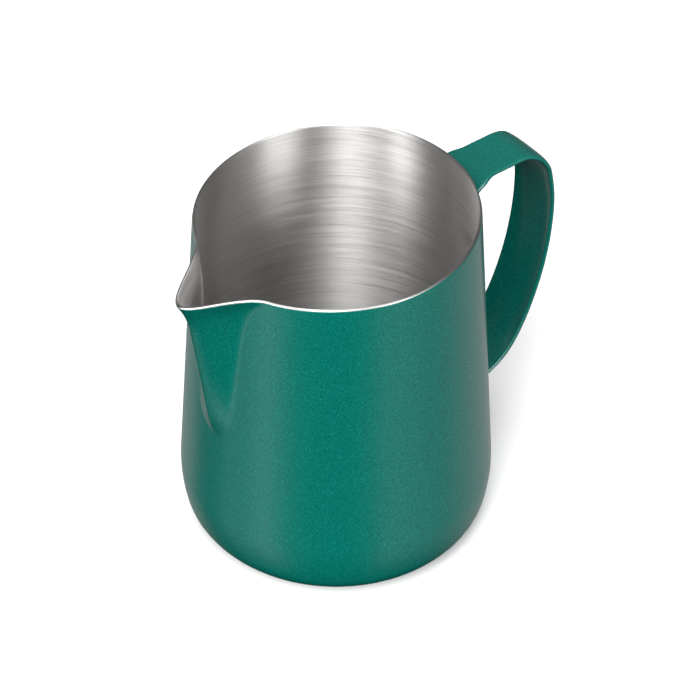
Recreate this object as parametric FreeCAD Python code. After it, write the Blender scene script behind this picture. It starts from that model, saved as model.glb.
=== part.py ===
import FreeCAD
import Part
import math
import os
from FreeCAD import Vector

# Milk frothing pitcher, about 0.5 litre: a deep-drawn stainless jug with a
# pressed spout, and a bent strip handle spot-welded to the wall.  The outside
# of both is painted; the inside, the rim and the base are bare steel.
#
# Millimetres.  +Z is up.  The origin is the middle of the base, on the plane
# the jug stands on.  The handle points to +X and the spout to -X.

# ---- driving dimensions ------------------------------------------------------
RIM_RADIUS = 40.0       # outside radius of the mouth
HEIGHT = 107.0          # mean height of the rim
WALL = 0.8              # drawn sheet
SIDE_TAPER = 3.5        # degrees, the side widens downwards
BELLY_RADIUS = 47.0     # arc below the straight side
BELLY_TURN = 11.8       # degrees past vertical where the heel arc takes over
HEEL_RADIUS = 10.0      # arc from the belly to the base
RING_WIDTH = 4.0        # flat ring the jug stands on
BASE_RECESS = 0.8       # middle of the base is pressed up by this much
RECESS_BLEND = 3.0      # radius of the two arcs round the recess

RIM_TILT = 0.038        # the rim rises towards the handle (slope)
RIM_CROWN = 0.75        # and is higher fore and aft than at the sides
LIP_DROOP_FROM = 19.2   # this far from the axis the rim starts to fall away to the spout
LIP_DROOP_RADIUS = 139.0  # radius of that fall, seen from the side

SPOUT_LENGTH = 58.0     # how far the channel runs down the side
SPOUT_RISE = 0.213      # how fast the keel leaves the side, per unit of height
SPOUT_STEP = 0.6        # keel height where the channel starts
SPOUT_CLOSE = 8.0       # height of the round lower end of the channel
SPOUT_ANGLE = 19.2      # degrees, half the opening of the channel at the rim
SPOUT_NOSE = 1.6        # radius along the keel
LIP_FLARE = 2.5         # extra reach of the curled lip at the tip
LIP_START = 16.2        # the curl starts this far below the mean rim
LIP_HEIGHT = 10.6       # height from there to the tip

STRIP_THICK = 1.0       # handle strip
ARM_DROP = 7.05         # middle of the level arm below the mean rim
ARM_WIDTH = 14.8
GRIP_WIDTH = 17.0
FOOT_WIDTH = 17.6
FOOT_LENGTH = 11.0
FOOT_CORNER = 3.0
ROOT_BEND = 8.5         # radius from the upper foot to the arm
FOOT_TOP = 20.95        # the lower foot meets the belly at this height
# radius and turn of each arc of the grip, as drawn before it is scaled to the jug's height
GRIP_ARCS = ((11.6, 75.0), (50.0, 15.0), (91.0, 23.3), (48.0, 9.8), (23.2, 36.9))
HEEL_RUN = 1.7          # straight between the grip and the heel bend
HEEL_BEND = 5.5         # radius from the grip to the lower foot
EDGE_TURN = 1.2         # long edges of the grip are turned in by this much
FOOT_BED = 0.06         # the feet are pressed onto the wall by this much

PAINT = 0.12            # film thickness
PAINT_STOP = 0.5        # bare steel left at the rim and at the base
NUGGET_RADIUS = 2.2     # spot welds
NUGGET_SPACING = 9.5

# ---- derived -----------------------------------------------------------------
TAPER = math.radians(SIDE_TAPER)
TURN = math.radians(BELLY_TURN)
TOP = HEIGHT + RIM_TILT * RIM_RADIUS + RIM_CROWN + 1.1    # blank before the rim is cut
SIDE = (HEIGHT - BELLY_RADIUS * (math.sin(TAPER) + math.sin(TURN))
        - HEEL_RADIUS * (1 - math.sin(TURN))) / math.cos(TAPER)
SIDE_END = (RIM_RADIUS + SIDE * math.sin(TAPER), HEIGHT - SIDE * math.cos(TAPER))
BELLY_C = (SIDE_END[0] - BELLY_RADIUS * math.cos(TAPER),
           SIDE_END[1] - BELLY_RADIUS * math.sin(TAPER))
HEEL_C = (BELLY_C[0] + (BELLY_RADIUS - HEEL_RADIUS) * math.cos(TURN), HEEL_RADIUS)
CHANNEL_FOOT = HEIGHT - SPOUT_LENGTH
SPLIT = CHANNEL_FOOT - 3.0              # below this the wall is a plain turned form
SECTOR = 38.0                           # degrees each side taken by the spout panel


def on_arc(centre, radius, angle):
    return Vector(centre[0] + radius * math.cos(angle), 0,
                  centre[1] + radius * math.sin(angle))


def arc_edge(centre, radius, a0, a1):
    return Part.Arc(on_arc(centre, radius, a0), on_arc(centre, radius, (a0 + a1) / 2),
                    on_arc(centre, radius, a1)).toShape()


def side_point(z, off):
    """Point of the straight side at height z, off millimetres outside the steel."""
    return Vector(RIM_RADIUS + (HEIGHT - z) * math.tan(TAPER) + off / math.cos(TAPER), 0, z)


def profile(off, z_top):
    """Half section of the jug from the axis of the base up to z_top."""
    q, tip = RECESS_BLEND, math.acos(1 - BASE_RECESS / (2 * RECESS_BLEND))
    ring = HEEL_C[0] - RING_WIDTH
    low, high = (ring, q), (ring - 2 * q * math.sin(tip), BASE_RECESS - q)
    down = -math.pi / 2
    edges = [Part.makeLine(Vector(0, 0, BASE_RECESS - off), on_arc(high, q - off, -down)),
             arc_edge(high, q - off, -down, -down - tip),
             arc_edge(low, q + off, down - tip, down),
             Part.makeLine(on_arc(low, q + off, down), on_arc(HEEL_C, HEEL_RADIUS + off, down)),
             arc_edge(HEEL_C, HEEL_RADIUS + off, down, -TURN),
             arc_edge(BELLY_C, BELLY_RADIUS + off, -TURN, TAPER)]
    edges.append(Part.makeLine(on_arc(BELLY_C, BELLY_RADIUS + off, TAPER),
                               side_point(z_top, off)))
    return edges


def spout_radius(psi, z):
    """Radius of the outer steel face; psi is the angle from the spout."""
    plain = RIM_RADIUS + (HEIGHT - z) * math.tan(TAPER)
    up = z - CHANNEL_FOOT
    if up <= 0:
        return plain
    close = math.sqrt(1 - max(0.0, 1 - up / SPOUT_CLOSE) ** 2)
    share = up / SPOUT_LENGTH
    reach = SPOUT_STEP + SPOUT_RISE * up
    curl = max(0.0, (z - HEIGHT + LIP_START) / LIP_HEIGHT)
    reach = (reach + LIP_FLARE * curl ** 2) * close
    flare = max(0.0, 1 - (1 - share) / 0.2)
    opening = math.radians((0.457 + 0.216 * share + 0.275 * flare ** 2) * SPOUT_ANGLE)
    opening *= close
    blend = 0.22 + 0.6 * max(0.0, 1 - (1 - share) / 0.42) ** 1.5
    nose = min(1.0, SPOUT_NOSE * reach / (0.9 * (plain * opening) ** 2))
    tent = 1 - (math.hypot(psi / opening, nose) - nose) / (math.hypot(1, nose) - nose)
    soft = max(blend - abs(tent), 0.0) / blend
    return plain + reach * (max(tent, 0.0) + soft * soft * blend / 4)


def spout_point(psi, z, off):
    """Point of the spout panel at height z, off millimetres outside the steel."""
    def at(p, h):
        r = spout_radius(p, h)
        return Vector(-r * math.cos(p), -r * math.sin(p), h)

    def moved_out(h):
        step = 0.01
        across = at(psi + step / RIM_RADIUS, h) - at(psi - step / RIM_RADIUS, h)
        out = across.cross(at(psi, h + step) - at(psi, h - step))
        out.normalize()
        return at(psi, h) + out * off

    h = z
    for _ in range(4):
        p = moved_out(h)
        h += z - p.z
    return Vector(p.x, p.y, z)


def spline(points, params):
    """Poles, multiplicities and knots of the cubic curve through the points."""
    c = Part.BSplineCurve()
    c.interpolate(Points=points, Parameters=params)
    return c.getPoles(), c.getMultiplicities(), c.getKnots()


def face_through(rows, us, vs):
    """Cubic surface through a net of points; rows run along us, columns along vs."""
    columns = [spline([row[k] for row in rows], us) for k in range(len(vs))]
    _, um, uk = columns[0]
    poles = []
    for i in range(len(columns[0][0])):
        line, vm, vk = spline([c[0][i] for c in columns], vs)
        poles.append(line)
    s = Part.BSplineSurface()
    s.buildFromPolesMultsKnots(poles, um, vm, uk, vk, False, False, 3, 3)
    return s.toShape()


def ruled_face(first, second, params):
    """Straight-ruled face between two cubic curves."""
    a, mults, knots = spline(first, params)
    b = spline(second, params)[0]
    s = Part.BSplineSurface()
    s.buildFromPolesMultsKnots([list(p) for p in zip(a, b)], mults, [2, 2], knots, [0.0, 1.0],
                               False, False, 3, 1)
    return s.toShape()


def closed_solid(faces, tol=1e-3):
    shell = Part.makeShell(faces)
    shell.sewShape(tol)
    solid = Part.makeSolid(shell if shell.ShapeType == "Shell" else shell.Shells[0])
    if solid.Volume < 0:
        solid.reverse()
    return solid


def vessel(off, z_top):
    """Solid bounded by the outer steel face moved out by off, filled inside."""
    up, origin = Vector(0, 0, 1), Vector(0, 0, 0)
    main = Part.Wire(profile(off, z_top))
    low = Part.Wire(profile(off, SPLIT))
    main.rotate(origin, up, -180 + SECTOR)
    low.rotate(origin, up, 180 - SECTOR)
    faces = main.revolve(origin, up, 360 - 2 * SECTOR).Faces
    faces += low.revolve(origin, up, 2 * SECTOR).Faces
    across, tall = 64, 52
    # columns are closest together at the keel
    ts = [2.0 * i / across - 1 for i in range(across + 1)]
    turns = [math.radians(SECTOR) * (0.35 * t + 0.65 * t ** 3) for t in ts]
    rows = []
    for i in range(across + 1):
        psi = turns[i]
        row = []
        for j in range(tall + 1):
            z = SPLIT + (z_top - SPLIT) * j / tall
            if i in (0, across) or j == 0:
                r = side_point(z, off).x
                row.append(Vector(-r * math.cos(psi), -r * math.sin(psi), z))
            else:
                row.append(spout_point(psi, z, off))
        rows.append(row)
    faces.append(face_through(rows, turns,
                              [float(j) for j in range(tall + 1)]))
    rim = [e for f in faces for e in f.Edges
           if abs(e.BoundBox.ZMax - z_top) < 1e-4 and abs(e.BoundBox.ZMin - z_top) < 1e-4]
    faces.append(Part.Face(Part.Wire(Part.__sortEdges__(rim))))
    return closed_solid(faces)


def above_rim(shift):
    """Everything above the rim line, which is seen in side view as a shallow curve."""
    pts, wide = [], 2 * RIM_RADIUS
    x = -1.6 * RIM_RADIUS
    while x < 1.3 * RIM_RADIUS:
        z = HEIGHT + shift + RIM_TILT * x + RIM_CROWN * ((x / RIM_RADIUS) ** 2 - 0.5)
        past = max(0.0, -x - LIP_DROOP_FROM)
        pts.append(Vector(x, -wide, z - past ** 2 / (2 * LIP_DROOP_RADIUS)))
        x += RIM_RADIUS / 10
    line = Part.BSplineCurve()
    line.interpolate(pts)
    back = Vector(pts[-1].x, -wide, 2 * TOP - HEIGHT)
    front = Vector(pts[0].x, -wide, 2 * TOP - HEIGHT)
    sides = [line.toShape(), Part.makeLine(pts[-1], back), Part.makeLine(back, front),
             Part.makeLine(front, pts[0])]
    return Part.Face(Part.Wire(sides)).extrude(Vector(0, 2 * wide, 0))


# ---- handle ------------------------------------------------------------------
def bent(x, z, heading, radius, turn):
    """Where an arc of the strip ends, and its heading there.

    In side view, headings are measured clockwise from +X; positive radii turn clockwise.
    """
    end = heading + turn
    return (x + radius * (math.sin(end) - math.sin(heading)),
            z + radius * (math.cos(end) - math.cos(heading)), end)


def handle_path():
    """Middle line of the strip in side view, from the end of one foot to the other.

    The grip is scaled to the height between the arm and the lower foot, and the level
    arm is as long as it must be for the lower foot to lie on the belly.  Each piece is
    (start x, start z, heading, length, radius).  Also gives the distance along the
    strip at the ends of the root, the arm, the grip and the heel bend.
    """
    seat = STRIP_THICK / 2 - FOOT_BED
    rise = -math.pi / 2 - TAPER
    top = side_point(HEIGHT - ARM_DROP - ROOT_BEND * (1 - math.sin(TAPER)), seat)
    root = bent(top.x, top.z, rise, ROOT_BEND, -rise)
    drawn = (0.0, 0.0, 0.0)
    for radius, turn in GRIP_ARCS:
        drawn = bent(*drawn, radius, math.radians(turn))
    h = drawn[2]
    ring = BELLY_RADIUS + seat
    q = math.asin((FOOT_TOP - BELLY_C[1]) / ring)
    heel = bent(0.0, 0.0, h, -HEEL_BEND, math.pi / 2 - q - h)
    end_x = BELLY_C[0] + ring * math.cos(q) - heel[0] - HEEL_RUN * math.cos(h)
    end_z = FOOT_TOP - heel[1] + HEEL_RUN * math.sin(h)
    scale = (end_z - root[1]) / drawn[1]
    arm = end_x - scale * drawn[0] - root[0]

    pieces = [(top.x - FOOT_LENGTH * math.cos(rise), top.z + FOOT_LENGTH * math.sin(rise),
               rise, FOOT_LENGTH, 0.0)]
    bends = [(ROOT_BEND, -rise), (0.0, arm)]
    bends += [(radius * scale, math.radians(turn)) for radius, turn in GRIP_ARCS]
    bends += [(0.0, HEEL_RUN), (-HEEL_BEND, math.pi / 2 - q - h), (ring, FOOT_LENGTH / ring)]
    at = (top.x, top.z, rise)
    for radius, turn in bends:
        if radius:
            pieces.append(at + (abs(radius * turn), radius))
            at = bent(*at, radius, turn)
        else:
            pieces.append(at + (turn, 0.0))
            at = (at[0] + turn * math.cos(at[2]), at[1] - turn * math.sin(at[2]), at[2])
    ends = [sum(p[3] for p in pieces[:k + 1]) for k in range(len(pieces))]
    return pieces, {"root": ends[1], "arm": ends[2], "grip": ends[-4], "heel": ends[-2]}


def smooth(t):
    t = min(max(t, 0.0), 1.0)
    return t * t * (3 - 2 * t)


def path_at(pieces, s):
    """Point and heading of the middle line at the distance s along it."""
    for x, z, h, length, radius in pieces:
        if s <= length or (x, z, h, length, radius) == pieces[-1]:
            break
        s -= length
    if radius == 0:
        return x + s * math.cos(h), z - s * math.sin(h), h
    cx, cz, h2 = x - radius * math.sin(h), z - radius * math.cos(h), h + s / radius
    return cx + radius * math.sin(h2), cz + radius * math.cos(h2), h2


def half_width(s, marks, total):
    foot, arm, grip = FOOT_WIDTH / 2, ARM_WIDTH / 2, GRIP_WIDTH / 2
    neck = marks["root"] - 4.4
    w = foot + (arm - foot) * smooth((s - neck) / 5.5)
    w += (grip - arm) * smooth((s - marks["arm"]) / 14.0)
    w += (foot - grip) * smooth((s - marks["grip"] + 30.0) / 30.0)
    end = max(0.0, min(s, total - s))
    if end < FOOT_CORNER:
        w -= FOOT_CORNER - math.sqrt(FOOT_CORNER ** 2 - (FOOT_CORNER - end) ** 2)
    return w


def handle(grow):
    """The strip as a closed solid, with every face moved out by grow."""
    pieces, marks = handle_path()
    total = sum(p[3] for p in pieces)
    bend0, bend1 = FOOT_LENGTH, marks["root"]
    heel0, heel1 = marks["heel"] - HEEL_BEND * 1.1, marks["heel"]
    wall_r = {0: path_at(pieces, bend0)[0], 1: path_at(pieces, heel1)[0]}

    def middle(s, t):
        x, z, h = path_at(pieces, s)
        y = t * half_width(s, marks, total)
        # feet are saddled to the round wall, the arm and the grip are not
        hug = 1 - smooth((s - bend0) / (bend1 - bend0)) if s < (bend1 + heel0) / 2 \
            else smooth((s - heel0) / (heel1 - heel0))
        r = x if s <= bend0 or s >= heel1 else wall_r[0 if s < heel0 / 2 else 1]
        dx = -hug * (r - math.sqrt(r * r - y * y))
        # long edges of the grip are turned towards the fingers
        turn = EDGE_TURN * smooth((s - marks["arm"]) / 20.0)
        turn *= 1 - smooth((s - marks["grip"] + 18.0) / 18.0)
        inward = turn * abs(t) ** 4
        return Vector(x + dx - inward * math.sin(h), y, z - inward * math.cos(h))

    stops = [0.0]
    for p in pieces:
        n = max(2, int(math.ceil(p[3] / 1.8)))
        stops += [stops[-1] + p[3] * (k + 1) / n for k in range(n)]
    for c in (0.25, 0.7, 1.5, 2.3, 3.0):
        stops += [c, total - c]
    stops = sorted(set(round(s, 4) for s in stops))
    stops = [s for k, s in enumerate(stops) if k == 0 or s - stops[k - 1] > 0.2]
    cols = 12
    outer, inner = [], []
    for s in stops:
        a, b = [], []
        for k in range(cols + 1):
            t = 2.0 * k / cols - 1
            e = 0.02
            ds = middle(min(s + e, total), t) - middle(max(s - e, 0.0), t)
            dt = middle(s, t + e / 8) - middle(s, t - e / 8)
            n = ds.cross(dt)
            n.normalize()
            m = middle(s, t)
            if grow:
                ds.normalize()
                dt.normalize()
                m += dt * (grow * t)
                if s in (stops[0], stops[-1]):
                    m += ds * (grow if s == stops[-1] else -grow)
            a.append(m + n * (STRIP_THICK / 2 + grow))
            b.append(m - n * (STRIP_THICK / 2 + grow))
        outer.append(a)
        inner.append(b)
    ts = [2.0 * k / cols - 1 for k in range(cols + 1)]
    faces = [face_through(outer, stops, ts), face_through(inner, stops, ts)]
    faces += [ruled_face(outer[k], inner[k], ts) for k in (0, -1)]
    faces += [ruled_face([r[k] for r in outer], [r[k] for r in inner], stops) for k in (0, -1)]
    return closed_solid(faces)


def nugget(s, y):
    """Weld nugget through the foot and half of the wall, centred at s along the strip."""
    pieces, _ = handle_path()
    x, z, _ = path_at(pieces, s)
    x0, z0, _ = path_at(pieces, s - 0.05)
    x1, z1, _ = path_at(pieces, s + 0.05)
    lean = (z1 - z0) / math.hypot(x1 - x0, z1 - z0), -(x1 - x0) / math.hypot(x1 - x0, z1 - z0)
    if lean[0] < 0:
        lean = -lean[0], -lean[1]
    a = math.asin(y / x)
    out = Vector(lean[0] * math.cos(a), lean[0] * math.sin(a), lean[1])
    centre = Vector(math.sqrt(x * x - y * y), y, z)
    back = STRIP_THICK / 2 - FOOT_BED + WALL / 2
    return Part.makeCylinder(NUGGET_RADIUS, back, centre - out * back, out)


# ---- build -------------------------------------------------------------------
def only_solid(shape):
    return max(shape.Solids, key=lambda s: s.Volume)


steel = vessel(0.0, TOP)
jug = steel.cut(vessel(-WALL, TOP + 1)).cut(above_rim(0))
film = vessel(PAINT, TOP).cut(vessel(0.0, TOP + 1)).cut(above_rim(-PAINT_STOP))
film = film.cut(Part.makeCylinder(2 * RIM_RADIUS, 2 * PAINT_STOP, Vector(0, 0, -PAINT_STOP)))

strip_blank, painted_blank = handle(0.0), handle(PAINT)
strip = strip_blank.cut(steel)
strip_film = painted_blank.cut(steel).cut(strip)
film = film.cut(painted_blank)

feet = {"upper": FOOT_LENGTH * 0.42,
        "lower": sum(p[3] for p in handle_path()[0]) - FOOT_LENGTH * 0.5}
welds = {}
for place, s in feet.items():
    for side, y in (("left", NUGGET_SPACING / 2), ("right", -NUGGET_SPACING / 2)):
        welds["weld_%s_%s" % (place, side)] = nugget(s, y)
for w in welds.values():
    jug = jug.cut(w)
    strip = strip.cut(w)

nodes = {"jug_body": only_solid(jug), "body_paint": only_solid(film),
         "handle_strip": only_solid(strip), "handle_paint": only_solid(strip_film)}
nodes.update(welds)

os.makedirs("parts", exist_ok=True)
for name, shape in nodes.items():
    box = shape.BoundBox
    print("%-18s %s solids %d faces %d volume %.1f box %.1f..%.1f %.1f..%.1f %.1f..%.1f" % (
        name, "ok" if shape.isValid() else "BAD", len(shape.Solids), len(shape.Faces),
        shape.Volume, box.XMin, box.XMax, box.YMin, box.YMax, box.ZMin, box.ZMax))
    shape.exportStep("parts/%s.step" % name)
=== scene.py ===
import math
import bpy
import numpy as np
from mathutils import Vector, Matrix


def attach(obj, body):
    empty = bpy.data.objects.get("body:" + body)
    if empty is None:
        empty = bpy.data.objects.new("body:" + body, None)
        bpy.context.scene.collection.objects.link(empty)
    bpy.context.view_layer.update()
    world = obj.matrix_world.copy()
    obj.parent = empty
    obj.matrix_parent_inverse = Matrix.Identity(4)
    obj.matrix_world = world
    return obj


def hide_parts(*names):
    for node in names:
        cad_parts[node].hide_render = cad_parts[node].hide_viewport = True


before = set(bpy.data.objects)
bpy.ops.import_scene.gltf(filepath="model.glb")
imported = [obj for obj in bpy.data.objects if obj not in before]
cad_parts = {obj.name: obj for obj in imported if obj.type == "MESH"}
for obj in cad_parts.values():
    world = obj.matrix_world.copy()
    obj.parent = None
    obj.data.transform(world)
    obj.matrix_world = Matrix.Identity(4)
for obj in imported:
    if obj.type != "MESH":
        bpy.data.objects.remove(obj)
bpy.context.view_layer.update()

# Milk frothing pitcher.  Metres in Blender; the forms below are worked out in
# millimetres, in the frame of the CAD model, and scaled once when a mesh is made.
MM = 0.001

# ---- sizes, the same as the CAD model's --------------------------------------
RIM_RADIUS, HEIGHT, WALL = 40.0, 107.0, 0.8
TAPER, TURN = math.radians(3.5), math.radians(11.8)
BELLY_RADIUS, HEEL_RADIUS = 47.0, 10.0
RING_WIDTH, BASE_RECESS, RECESS_BLEND = 4.0, 0.8, 3.0
RIM_TILT, RIM_CROWN = 0.038, 0.75
LIP_DROOP_FROM, LIP_DROOP_RADIUS = 19.2, 139.0
SPOUT_LENGTH, SPOUT_RISE, SPOUT_STEP, SPOUT_CLOSE = 58.0, 0.213, 0.6, 8.0
SPOUT_ANGLE, SPOUT_NOSE = 19.2, 1.6
LIP_FLARE, LIP_START, LIP_HEIGHT = 2.5, 16.2, 10.6
STRIP_THICK, ARM_DROP = 1.0, 7.05
ARM_WIDTH, GRIP_WIDTH, FOOT_WIDTH = 14.8, 17.0, 17.6
FOOT_LENGTH, FOOT_CORNER, ROOT_BEND, FOOT_TOP = 11.0, 3.0, 8.5, 20.95
GRIP_ARCS = ((11.6, 75.0), (50.0, 15.0), (91.0, 23.3), (48.0, 9.8), (23.2, 36.9))
HEEL_RUN, HEEL_BEND, EDGE_TURN, FOOT_BED = 1.7, 5.5, 1.2, 0.06
PAINT, PAINT_STOP = 0.12, 0.5
RIM_BARE = 0.34       # bare steel drawn under the rim, a little less than in the CAD model
CHANNEL_FADE = 2.0    # height over which the foot of the spout's channel fades out

SIDE = (HEIGHT - BELLY_RADIUS * (math.sin(TAPER) + math.sin(TURN))
        - HEEL_RADIUS * (1 - math.sin(TURN))) / math.cos(TAPER)
SIDE_END = (RIM_RADIUS + SIDE * math.sin(TAPER), HEIGHT - SIDE * math.cos(TAPER))
BELLY_C = (SIDE_END[0] - BELLY_RADIUS * math.cos(TAPER),
           SIDE_END[1] - BELLY_RADIUS * math.sin(TAPER))
HEEL_C = (BELLY_C[0] + (BELLY_RADIUS - HEEL_RADIUS) * math.cos(TURN), HEEL_RADIUS)
CHANNEL_FOOT = HEIGHT - SPOUT_LENGTH
SECTOR = math.radians(38.0)

# ---- camera: three-quarter view from above, spout to the left ----------------
AZ, EL, DIST, ROLL = math.radians(-38.0), 0.724343, 0.96, 0.0091517
AIM_X, AIM_Y = 0.00384029, 0.00243997
FOCAL_PX, FRAME_PX = 3349.88, 700.0


def add_camera():
    target = Vector((0, 0, HEIGHT / 2 * MM))
    back = Vector((math.sin(AZ) * math.cos(EL), -math.cos(AZ) * math.cos(EL), math.sin(EL)))
    right = Vector((math.cos(AZ), math.sin(AZ), 0))
    up = back.cross(right)
    pos = target + back * DIST
    b = (pos - (target + right * AIM_X + up * AIM_Y)).normalized()
    r = Vector((0, 0, 1)).cross(b).normalized()
    u = b.cross(r)
    r, u = (r * math.cos(ROLL) + u * math.sin(ROLL), u * math.cos(ROLL) - r * math.sin(ROLL))
    cam = bpy.data.cameras.new("camera")
    ob = bpy.data.objects.new("camera", cam)
    bpy.context.scene.collection.objects.link(ob)
    ob.matrix_world = Matrix(((r.x, u.x, b.x, pos.x), (r.y, u.y, b.y, pos.y),
                              (r.z, u.z, b.z, pos.z), (0, 0, 0, 1)))
    cam.sensor_fit = "HORIZONTAL"
    cam.sensor_width = 36.0
    cam.lens = FOCAL_PX / FRAME_PX * 36.0
    cam.clip_start, cam.clip_end = 0.05, 50
    bpy.context.scene.camera = ob


# ---- meshes ------------------------------------------------------------------
def mesh_piece(name, verts, faces, material):
    """Object from points in millimetres."""
    me = bpy.data.meshes.new(name)
    me.from_pydata([(p[0] * MM, p[1] * MM, p[2] * MM) for p in verts], [], faces)
    me.validate()
    me.polygons.foreach_set("use_smooth", [True] * len(me.polygons))
    ob = bpy.data.objects.new(name, me)
    bpy.context.scene.collection.objects.link(ob)
    me.materials.append(material)
    me.update()
    return ob


def ring_faces(rows, cols, first=0, flip=False):
    """Quads between rows of points that each run once round."""
    out = []
    for j in range(rows - 1):
        for i in range(cols):
            a, b = first + j * cols + i, first + j * cols + (i + 1) % cols
            q = (a, b, b + cols, a + cols)
            out.append(q[::-1] if flip else q)
    return out


def smooth(t):
    t = min(max(t, 0.0), 1.0)
    return t * t * (3 - 2 * t)


# ---- jug ---------------------------------------------------------------------
def spout_radius(psi, z):
    """Outer steel radius; psi is the angle from the spout, z the height (arrays)."""
    plain = RIM_RADIUS + (HEIGHT - z) * math.tan(TAPER)
    up = np.maximum(z - CHANNEL_FOOT, 1e-6)
    close = np.sqrt(1 - np.maximum(0.0, 1 - up / SPOUT_CLOSE) ** 2)
    share = up / SPOUT_LENGTH
    curl = np.maximum(0.0, (z - HEIGHT + LIP_START) / LIP_HEIGHT)
    reach = (SPOUT_STEP + SPOUT_RISE * up + LIP_FLARE * curl ** 2) * close
    reach = reach * (1 - np.maximum(0.0, 1 - up / CHANNEL_FADE) ** 2)
    flare = np.maximum(0.0, 1 - (1 - share) / 0.2)
    opening = np.radians((0.457 + 0.216 * share + 0.275 * flare ** 2) * SPOUT_ANGLE) * close
    blend = 0.22 + 0.6 * np.maximum(0.0, 1 - (1 - share) / 0.42) ** 1.5
    nose = np.minimum(1.0, SPOUT_NOSE * reach / (0.9 * (plain * opening) ** 2))
    tent = 1 - (np.hypot(psi / opening, nose) - nose) / (np.hypot(1, nose) - nose)
    soft = np.maximum(blend - np.abs(tent), 0.0) / blend
    out = plain + reach * (np.maximum(tent, 0.0) + soft * soft * blend / 4)
    return np.where(z > CHANNEL_FOOT, out, plain)


def rim_height(x):
    past = np.maximum(0.0, -x - LIP_DROOP_FROM)
    return (HEIGHT + RIM_TILT * x + RIM_CROWN * ((x / RIM_RADIUS) ** 2 - 0.5)
            - past ** 2 / (2 * LIP_DROOP_RADIUS))


def turned_profile():
    """Outer section from the axis of the base to the end of the belly: (r, z, nr, nz)."""
    q, tip = RECESS_BLEND, math.acos(1 - BASE_RECESS / (2 * RECESS_BLEND))
    ring = HEEL_C[0] - RING_WIDTH
    low, high = (ring, q), (ring - 2 * q * math.sin(tip), BASE_RECESS - q)
    rows = [(r, BASE_RECESS, 0.0, -1.0) for r in np.linspace(1.0, high[0] - 0.6, 12)]

    def arc(c, radius, a0, a1, n, side):
        for a in np.linspace(a0, a1, n):
            rows.append((c[0] + radius * math.cos(a), c[1] + radius * math.sin(a),
                         side * math.cos(a), side * math.sin(a)))

    down = -math.pi / 2
    arc(high, q, -down, -down - tip, 6, -1)
    arc(low, q, down - tip, down, 6, 1)
    arc((HEEL_C[0] - 0.6, HEEL_RADIUS), HEEL_RADIUS, down, down, 1, 1)
    arc(HEEL_C, HEEL_RADIUS, down, -TURN, 16, 1)
    arc(BELLY_C, BELLY_RADIUS, -TURN, TAPER, 12, 1)
    tidy = [rows[0]]
    for row in rows[1:]:
        if math.hypot(row[0] - tidy[-1][0], row[1] - tidy[-1][1]) > 0.05:
            tidy.append(row)
    return tidy


def column_angles():
    """Angles from the spout, once round, closest together at the keel."""
    t = np.linspace(-1, 1, 113)
    near = SECTOR * (0.3 * t + 0.7 * t ** 3)
    far = np.linspace(SECTOR, 2 * math.pi - SECTOR, 105)[1:-1]
    return np.concatenate([near, far])


def wrap(psi):
    return (psi + math.pi) % (2 * math.pi) - math.pi


def steel_face(psi, z):
    """Points of the outer steel face and their normals, above the belly."""
    def at(p, h):
        r = spout_radius(wrap(p), h)
        return np.stack([-r * np.cos(p), -r * np.sin(p), h], -1)
    e = 0.02
    across = at(psi + e / RIM_RADIUS, z) - at(psi - e / RIM_RADIUS, z)
    rise = at(psi, z + e) - at(psi, z - e)
    n = np.cross(across, rise)
    n /= np.linalg.norm(n, axis=-1, keepdims=True)
    return at(psi, z), n


def rim_at(psi, drop):
    """Height of the rim, less drop, at each column."""
    z = np.full_like(psi, HEIGHT)
    for _ in range(12):
        z = rim_height(-spout_radius(wrap(psi), z) * np.cos(psi)) - drop
    return z


def side_rows():
    """Rows of (points, normals) up the side, from the belly to where the paint stops."""
    psi = column_angles()
    full = CHANNEL_FOOT + SPOUT_CLOSE
    plain = np.linspace(SIDE_END[1], CHANNEL_FOOT - 0.1, 12)
    closing = full - SPOUT_CLOSE * np.cos(np.linspace(0.15, math.pi / 2, 20))
    rows = [steel_face(psi, np.full_like(psi, z)) for z in (*plain, *closing[:-1])]
    top = rim_at(psi, RIM_BARE + 0.35)
    rows += [steel_face(psi, full + (top - full) * v) for v in np.linspace(0, 1, 62)]
    rows += [steel_face(psi, rim_at(psi, RIM_BARE + d)) for d in (0.2, 0.08, 0.0)]
    return rows


def turned_rows(profile):
    psi = column_angles()
    ones = np.ones_like(psi)
    rows = []
    for r, z, nr, nz in profile:
        p = np.stack([-r * np.cos(psi), -r * np.sin(psi), z * ones], -1)
        n = np.stack([-nr * np.cos(psi), -nr * np.sin(psi), nz * ones], -1)
        rows.append((p, n))
    return rows


def make_jug(material):
    edge = WALL / 2
    psi = column_angles()
    rows = turned_rows(turned_profile()[:-1]) + side_rows()
    rows.append(steel_face(psi, rim_at(psi, edge * 0.8)))
    outer = [p for p, _ in rows]
    inner = [p - n * WALL for p, n in rows]
    p, n = rows[-1]
    below = rows[-2][0]
    up = p - below
    up /= np.linalg.norm(up, axis=-1, keepdims=True)
    middle = p - n * edge
    rim = [middle + n * (edge * math.cos(a)) + up * (edge * 0.8 * math.sin(a))
           for a in np.linspace(0, math.pi, 9)[1:-1]]
    loops = outer + rim + inner[::-1]
    cols = len(loops[0])
    verts = np.concatenate(loops).tolist()
    faces = ring_faces(len(loops), cols)
    for loop, flip in ((0, True), (len(loops) - 1, False)):
        centre = len(verts)
        verts.append([0, 0, float(loops[loop][0][2])])
        for i in range(cols):
            a, b = loop * cols + i, loop * cols + (i + 1) % cols
            faces.append((b, a, centre) if flip else (a, b, centre))
    return mesh_piece("jug", verts, faces, material)


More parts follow.
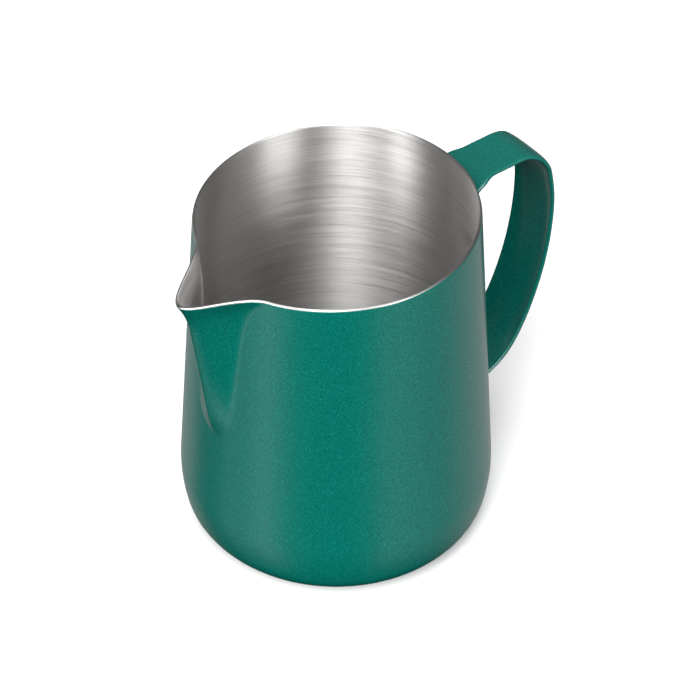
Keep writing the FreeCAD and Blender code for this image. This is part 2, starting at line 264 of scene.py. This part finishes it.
def make_body_paint(material):
    """Film on the outside, thinning to nothing at the rim and at the base."""
    heel = [row for row in turned_profile() if row[0] > HEEL_C[0] and row[1] > PAINT_STOP]
    a = math.acos(1 - PAINT_STOP / HEEL_RADIUS) - math.pi / 2
    first = (HEEL_C[0] + HEEL_RADIUS * math.cos(a), HEEL_C[1] + HEEL_RADIUS * math.sin(a),
             math.cos(a), math.sin(a))
    rows = turned_rows([first] + heel[:-1]) + side_rows()
    share = [0.35, 0.8] + [1.0] * (len(rows) - 5) + [0.85, 0.6, 0.25]
    outer = [p + n * (PAINT * k) for (p, n), k in zip(rows, share)]
    inner = [p for p, _ in rows]
    loops = outer + inner[::-1]
    cols = len(loops[0])
    faces = ring_faces(len(loops), cols)
    last = (len(loops) - 1) * cols
    faces += [(last + i, last + (i + 1) % cols, (i + 1) % cols, i) for i in range(cols)]
    return mesh_piece("jug_paint", np.concatenate(loops).tolist(), faces, material)


# ---- handle ------------------------------------------------------------------
def bent(x, z, heading, radius, turn):
    end = heading + turn
    return (x + radius * (math.sin(end) - math.sin(heading)),
            z + radius * (math.cos(end) - math.cos(heading)), end)


def handle_path():
    """Middle line of the strip in side view, worked out as in the CAD model."""
    seat = STRIP_THICK / 2 - FOOT_BED
    rise = -math.pi / 2 - TAPER
    z = HEIGHT - ARM_DROP - ROOT_BEND * (1 - math.sin(TAPER))
    top = (RIM_RADIUS + (HEIGHT - z) * math.tan(TAPER) + seat / math.cos(TAPER), z)
    root = bent(top[0], top[1], rise, ROOT_BEND, -rise)
    drawn = (0.0, 0.0, 0.0)
    for radius, turn in GRIP_ARCS:
        drawn = bent(*drawn, radius, math.radians(turn))
    h = drawn[2]
    ring = BELLY_RADIUS + seat
    q = math.asin((FOOT_TOP - BELLY_C[1]) / ring)
    heel = bent(0.0, 0.0, h, -HEEL_BEND, math.pi / 2 - q - h)
    end_x = BELLY_C[0] + ring * math.cos(q) - heel[0] - HEEL_RUN * math.cos(h)
    end_z = FOOT_TOP - heel[1] + HEEL_RUN * math.sin(h)
    scale = (end_z - root[1]) / drawn[1]
    arm = end_x - scale * drawn[0] - root[0]
    pieces = [(top[0] - FOOT_LENGTH * math.cos(rise), top[1] + FOOT_LENGTH * math.sin(rise),
               rise, FOOT_LENGTH, 0.0)]
    bends = [(ROOT_BEND, -rise), (0.0, arm)]
    bends += [(radius * scale, math.radians(turn)) for radius, turn in GRIP_ARCS]
    bends += [(0.0, HEEL_RUN), (-HEEL_BEND, math.pi / 2 - q - h), (ring, FOOT_LENGTH / ring)]
    at = (top[0], top[1], rise)
    for radius, turn in bends:
        if radius:
            pieces.append(at + (abs(radius * turn), radius))
            at = bent(*at, radius, turn)
        else:
            pieces.append(at + (turn, 0.0))
            at = (at[0] + turn * math.cos(at[2]), at[1] - turn * math.sin(at[2]), at[2])
    ends = [sum(p[3] for p in pieces[:k + 1]) for k in range(len(pieces))]
    return pieces, {"root": ends[1], "arm": ends[2], "grip": ends[-4], "heel": ends[-2],
                    "total": ends[-1]}


PATH, MARKS = handle_path()
EDGE_POINTS = 9       # steps round each edge of the strip


def path_at(s):
    for x, z, h, length, radius in PATH:
        if s <= length or (x, z, h, length, radius) == PATH[-1]:
            break
        s -= length
    if radius == 0:
        return x + s * math.cos(h), z - s * math.sin(h), h
    return bent(x, z, h, radius, s / radius)


def half_width(s, grow):
    foot, arm, grip = FOOT_WIDTH / 2, ARM_WIDTH / 2, GRIP_WIDTH / 2
    w = foot + (arm - foot) * smooth((s - MARKS["root"] + 4.4) / 5.5)
    w += (grip - arm) * smooth((s - MARKS["arm"]) / 14.0)
    w += (foot - grip) * smooth((s - MARKS["grip"] + 30.0) / 30.0) + grow
    corner = FOOT_CORNER + grow
    end = max(0.0, min(s, MARKS["total"] - s) + grow)
    if end < corner:
        w -= corner - math.sqrt(corner ** 2 - (corner - end) ** 2)
    return w


def strip_middle(s, y, w):
    """Point of the middle surface of the strip, y millimetres from its centre line."""
    x, z, h = path_at(min(max(s, 0.0), MARKS["total"]))
    past = s - min(max(s, 0.0), MARKS["total"])
    x, z = x + past * math.cos(h), z - past * math.sin(h)
    bend0, bend1 = FOOT_LENGTH, MARKS["root"]
    heel0, heel1 = MARKS["heel"] - HEEL_BEND * 1.1, MARKS["heel"]
    upper = s < (bend1 + heel0) / 2
    hug = 1 - smooth((s - bend0) / (bend1 - bend0)) if upper \
        else smooth((s - heel0) / (heel1 - heel0))
    r = x if s <= bend0 or s >= heel1 else path_at(bend0 if upper else heel1)[0]
    dx = -hug * (r - math.sqrt(r * r - y * y))
    turn = EDGE_TURN * smooth((s - MARKS["arm"]) / 20.0)
    turn *= 1 - smooth((s - MARKS["grip"] + 18.0) / 18.0)
    inward = turn * abs(y / w) ** 4
    return np.array((x + dx - inward * math.sin(h), y, z - inward * math.cos(h)))


def strip_loop(s, grow, round_to):
    """Once round the strip at s: outer face, rounded edge, inner face, rounded edge."""
    w = half_width(s, grow)
    half = STRIP_THICK / 2 + grow
    flat = w - round_to
    e = 0.02

    def frame_at(y):
        m = strip_middle(s, y, w)
        ds = strip_middle(s + e, y, w) - strip_middle(s - e, y, w)
        dy = strip_middle(s, y + e, w) - strip_middle(s, y - e, w)
        n = np.cross(ds, dy)
        return m, n / np.linalg.norm(n), dy / np.linalg.norm(dy)

    cols, turns = 22, EDGE_POINTS
    loop = []
    for side in (1, -1):
        for k in range(cols + 1):
            y = side * flat * (2.0 * k / cols - 1)
            m, n, _ = frame_at(y)
            loop.append(m + n * (side * half))
        m, n, dy = frame_at(side * flat)
        for k in range(1, turns):
            a = math.pi * k / turns
            loop.append(m + n * (side * half * math.cos(a)) + dy * (side * round_to * math.sin(a)))
    return loop


def strip_tube(grow):
    """Closed skin of the strip, grown by grow, as loops along its length."""
    half = STRIP_THICK / 2 + grow
    total = MARKS["total"]
    inset = 0.35 + grow
    stops = [-grow + inset * (1 - math.cos(a)) for a in np.linspace(0, math.pi / 2, 6)]
    ends = list(stops)
    s = stops[-1]
    for step in (0.12, 0.2, 0.3, 0.4, 0.5, 0.6):
        s += step
        ends.append(s)
    n = int((total - 2 * s) / 0.8)
    body = list(np.linspace(s, total - s, n + 1))[1:-1]
    stops = ends + body + [total - q for q in ends[::-1]]
    loops = []
    for k, s in enumerate(stops):
        loop = strip_loop(s, grow, min(half * 0.8, half_width(s, grow) - 0.5))
        j = min(k, len(stops) - 1 - k)
        if j < 6:    # rounded end: the section is drawn in towards its middle surface
            thin = math.sin(math.pi / 2 * (j + 0.35) / 5.35)
            mids = [strip_middle(s, q[1], 1e3) for q in loop]
            loop = [m + (q - m) * np.array((thin, 1.0, thin)) for q, m in zip(loop, mids)]
        loops.append(loop)
    return loops


def tube_mesh(loops, flip, first=0):
    cols = len(loops[0])
    verts = [p for loop in loops for p in loop]
    faces = ring_faces(len(loops), cols, first, not flip)
    edge = (EDGE_POINTS - 1) // 2
    for base, back in ((first, flip), (first + (len(loops) - 1) * cols, not flip)):
        # end caps: a ladder of quads between the outer and the inner run
        for k in range(cols // 2 - 1):
            a, b = k - edge, cols - 1 - EDGE_POINTS + edge - k
            q = tuple(base + i % cols for i in (a, a + 1, b, b + 1))
            faces.append(q[::-1] if back else q)
    return verts, faces


def make_strip(material):
    verts, faces = tube_mesh(strip_tube(0.0), False)
    return mesh_piece("strip", verts, faces, material)


def make_strip_paint(material):
    """Film all round the strip: an outer skin and, inside it, the strip's own faces."""
    verts, faces = tube_mesh(strip_tube(PAINT), False)
    more, inside = tube_mesh(strip_tube(0.0), True, len(verts))
    return mesh_piece("strip_paint", verts + more, faces + inside, material)


# ---- materials ---------------------------------------------------------------
class Tree:
    """Small helper that adds and links shader nodes."""

    def __init__(self, name):
        self.m = bpy.data.materials.new(name)
        self.m.use_nodes = True
        self.t = self.m.node_tree
        self.b = self.t.nodes["Principled BSDF"]
        self.pos = self.add("TexCoord").outputs["Object"]

    def add(self, kind, **inputs):
        n = self.t.nodes.new("ShaderNode" + kind)
        for k, v in inputs.items():
            n.inputs[k.replace("_", " ")].default_value = v
        return n

    def link(self, a, b):
        self.t.links.new(a, b)

    def noise(self, scale, detail=2.0, rough=0.5, stretch=None):
        n = self.add("TexNoise", Scale=scale, Detail=detail, Roughness=rough)
        if stretch:
            m = self.add("Mapping")
            m.inputs["Scale"].default_value = stretch
            self.link(self.pos, m.inputs["Vector"])
            self.link(m.outputs["Vector"], n.inputs["Vector"])
        else:
            self.link(self.pos, n.inputs["Vector"])
        return n.outputs["Fac"]

    def remap(self, fac, lo, hi, a=0.3, b=0.7):
        n = self.add("MapRange")
        for k, v in (("From Min", a), ("From Max", b), ("To Min", lo), ("To Max", hi)):
            n.inputs[k].default_value = v
        self.link(fac, n.inputs["Value"])
        return n.outputs["Result"]

    def ramp(self, fac, stops):
        n = self.add("ValToRGB")
        e = n.color_ramp.elements
        while len(e) < len(stops):
            e.new(0.5)
        for k, (p, c) in enumerate(stops):
            e[k].position = p
            e[k].color = (*c, 1)
        self.link(fac, n.inputs["Fac"])
        return n.outputs["Color"]

    def bump(self, fac, height, after=None):
        n = self.add("Bump", Strength=1.0, Distance=height)
        self.link(fac, n.inputs["Height"])
        if after:
            self.link(after, n.inputs["Normal"])
        return n.outputs["Normal"]

    def set(self, **values):
        for k, v in values.items():
            self.b.inputs[k.replace("_", " ")].default_value = v


def paint_material():
    t = Tree("green_paint")
    flake = t.noise(2600, 1.0, 0.6)
    cloud = t.noise(90, 2.0)
    base = t.ramp(flake, [(0.30, (0.0, 0.068, 0.054)), (0.52, (0.001, 0.092, 0.073)),
                          (0.66, (0.002, 0.113, 0.091)), (0.80, (0.009, 0.156, 0.13))])
    t.link(base, t.b.inputs["Base Color"])
    t.link(t.remap(cloud, 0.36, 0.42), t.b.inputs["Roughness"])
    t.link(t.bump(flake, 0.000003), t.b.inputs["Normal"])
    t.set(Metallic=0.12, IOR=1.5)
    t.b.inputs["Specular IOR Level"].default_value = 0.0
    t.b.inputs["Coat Weight"].default_value = 1.0
    t.b.inputs["Coat Roughness"].default_value = 0.22
    return t.m


def steel_material(name, grain, rough, anisotropy, colour=(0.60, 0.59, 0.575)):
    t = Tree(name)
    lines = t.noise(1.0, 4.0, 0.75, stretch=grain)
    cloud = t.noise(60, 2.0)
    lo = tuple(c * 0.85 for c in colour)
    hi = tuple(min(1.0, c * 1.15) for c in colour)
    t.link(t.ramp(lines, [(0.3, lo), (0.5, colour), (0.7, hi)]), t.b.inputs["Base Color"])
    t.link(t.remap(lines, rough * 0.86, rough * 1.16), t.b.inputs["Roughness"])
    t.link(t.bump(lines, 0.000004, t.bump(cloud, 0.00001)), t.b.inputs["Normal"])
    t.set(Metallic=1.0)
    if anisotropy:
        t.b.inputs["Anisotropic"].default_value = anisotropy
        t.b.inputs["Anisotropic Rotation"].default_value = 0.25
        tangent = t.add("Tangent")
        tangent.direction_type = "RADIAL"
        tangent.axis = "Z"
        t.link(tangent.outputs["Tangent"], t.b.inputs["Tangent"])
    return t.m


def floor_material():
    t = Tree("floor_paint")
    t.link(t.ramp(t.noise(4, 3.0), [(0.3, (0.70, 0.70, 0.70)), (0.7, (0.73, 0.73, 0.73))]),
           t.b.inputs["Base Color"])
    t.set(Roughness=0.7)
    return t.m


# ---- lights ------------------------------------------------------------------
# Soft studio panels all round: rings of (azimuth from +X in degrees, brightness), from
# straight down to nearly straight up.  RINGS has them in order, each with the range of
# the direction's z over which it gives way to the next; the last gives way to the roof.
DEEP = ((-180, 0.0), (180, 0.0))
BELOW = ((-180, 0.80), (-170, 0.50), (-160, 0.12), (-140, 0.0), (-118, 0.0), (-104, 0.12),
         (-90, 0.48), (-75, 0.45), (-50, 0.34), (-10, 0.5), (40, 0.42), (98, 0.38), (118, 0.1),
         (134, 0.08), (148, 0.34), (160, 0.36), (180, 0.80))
LEVEL = ((-180, 0.1), (180, 0.1))
LOW = ((-180, 14.0), (-173, 12.0), (-165, 2.6), (-156, 2.6), (-146, 4.0), (-130, 4.0),
       (-118, 0.9), (-102, 0.5), (-95, 12.0), (-77, 13.0), (-66, 2.5), (-50, 0.5), (-30, 0.2),
       (86, 0.2), (95, 1.8), (108, 1.8), (120, 0.2), (150, 0.2), (166, 0.8), (174, 7.0),
       (180, 14.0))
HIGH = ((-180, 6.0), (-164, 3.2), (-154, 6.5), (-146, 13.0), (-132, 12.5), (-120, 3.0),
        (-100, 0.6), (-80, 0.4), (-50, 0.2), (150, 0.2),
        (170, 1.2), (180, 6.0))
RINGS = ((DEEP, (-0.92, -0.68)), (BELOW, (-0.35, -0.20)), (LEVEL, (0.0, 0.15)),
         (LOW, (0.36, 0.62)), (HIGH, (0.92, 0.96)))
ROOF = 5.0
BACKDROP = 1.0        # what the camera sees past the edge of the floor


def studio():
    """World light that depends on direction only: rings of panels under a plain roof."""
    world = bpy.data.worlds.new("world")
    bpy.context.scene.world = world
    world.use_nodes = True
    nt = world.node_tree

    def add(kind, **inputs):
        n = nt.nodes.new("ShaderNode" + kind)
        for k, v in inputs.items():
            n.inputs[k.replace("_", " ")].default_value = v
        return n

    def maths(op, a, b=None, value=0.0):
        n = add("Math")
        n.operation = op
        nt.links.new(a, n.inputs[0])
        if b is not None:
            nt.links.new(b, n.inputs[1])
        else:
            n.inputs[1].default_value = value
        return n.outputs[0]

    split = add("SeparateXYZ")
    nt.links.new(add("TexCoord").outputs["Generated"], split.inputs[0])
    azimuth = maths("ARCTAN2", split.outputs["Y"], split.outputs["X"])
    turn = maths("MULTIPLY_ADD", azimuth, value=1 / (2 * math.pi))
    turn.node.inputs[2].default_value = 0.5
    light = None
    for stops, (start, end) in RINGS[::-1]:
        ramp = add("ValToRGB")
        ramp.color_ramp.interpolation = "EASE"
        e = ramp.color_ramp.elements
        while len(e) < len(stops):
            e.new(0.5)
        for k, (az, level) in enumerate(stops):
            e[k].position = (az + 180) / 360
            e[k].color = (level, level, level, 1)
        nt.links.new(turn, ramp.inputs["Fac"])
        share = add("MapRange")
        share.interpolation_type = "SMOOTHSTEP"
        share.inputs["From Min"].default_value = start
        share.inputs["From Max"].default_value = end
        nt.links.new(split.outputs["Z"], share.inputs["Value"])
        mix = add("Mix")
        mix.data_type = "FLOAT"
        nt.links.new(share.outputs["Result"], mix.inputs["Factor"])
        nt.links.new(ramp.outputs["Color"], mix.inputs["A"])
        if light is None:
            mix.inputs["B"].default_value = ROOF
        else:
            nt.links.new(light, mix.inputs["B"])
        light = mix.outputs["Result"]
    background = nt.nodes["Background"]
    background.inputs["Color"].default_value = (1, 1, 1, 1)
    backdrop = add("Mix")
    backdrop.data_type = "FLOAT"
    nt.links.new(add("LightPath").outputs["Is Camera Ray"], backdrop.inputs["Factor"])
    nt.links.new(light, backdrop.inputs["A"])
    backdrop.inputs["B"].default_value = BACKDROP
    nt.links.new(backdrop.outputs["Result"], background.inputs["Strength"])


# ---- assembly ----------------------------------------------------------------
paint = paint_material()
steel = steel_material("bare_steel", (30, 30, 1500), 0.46, 0.96, (0.50, 0.49, 0.48))
mill = steel_material("strip_steel", (400, 2600, 400), 0.35, 0.0)
weld = steel_material("weld_steel", (900, 900, 900), 0.45, 0.0, (0.5, 0.49, 0.48))
for name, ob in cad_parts.items():
    ob.data.materials.clear()
    if "weld" in name:
        ob.data.materials.append(weld)
    elif "paint" in name:
        ob.data.materials.append(paint)
    else:
        ob.data.materials.append(steel if name == "jug_body" else mill)

for piece, node, slot in ((make_jug(steel), "jug_body", "bare_steel"),
                          (make_body_paint(paint), "body_paint", "green_paint"),
                          (make_strip(mill), "handle_strip", "strip_steel"),
                          (make_strip_paint(paint), "handle_paint", "green_paint")):
    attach(piece, "root")
    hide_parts(node)

bpy.ops.mesh.primitive_plane_add(size=6, location=(0, 0, 0))
floor = bpy.context.object
floor.name = "floor"
floor.data.materials.append(floor_material())
# The floor is left out of reflections and of bounced light.
floor.visible_glossy = floor.visible_diffuse = False

studio()
bpy.context.scene.view_settings.view_transform = "Standard"
add_camera()
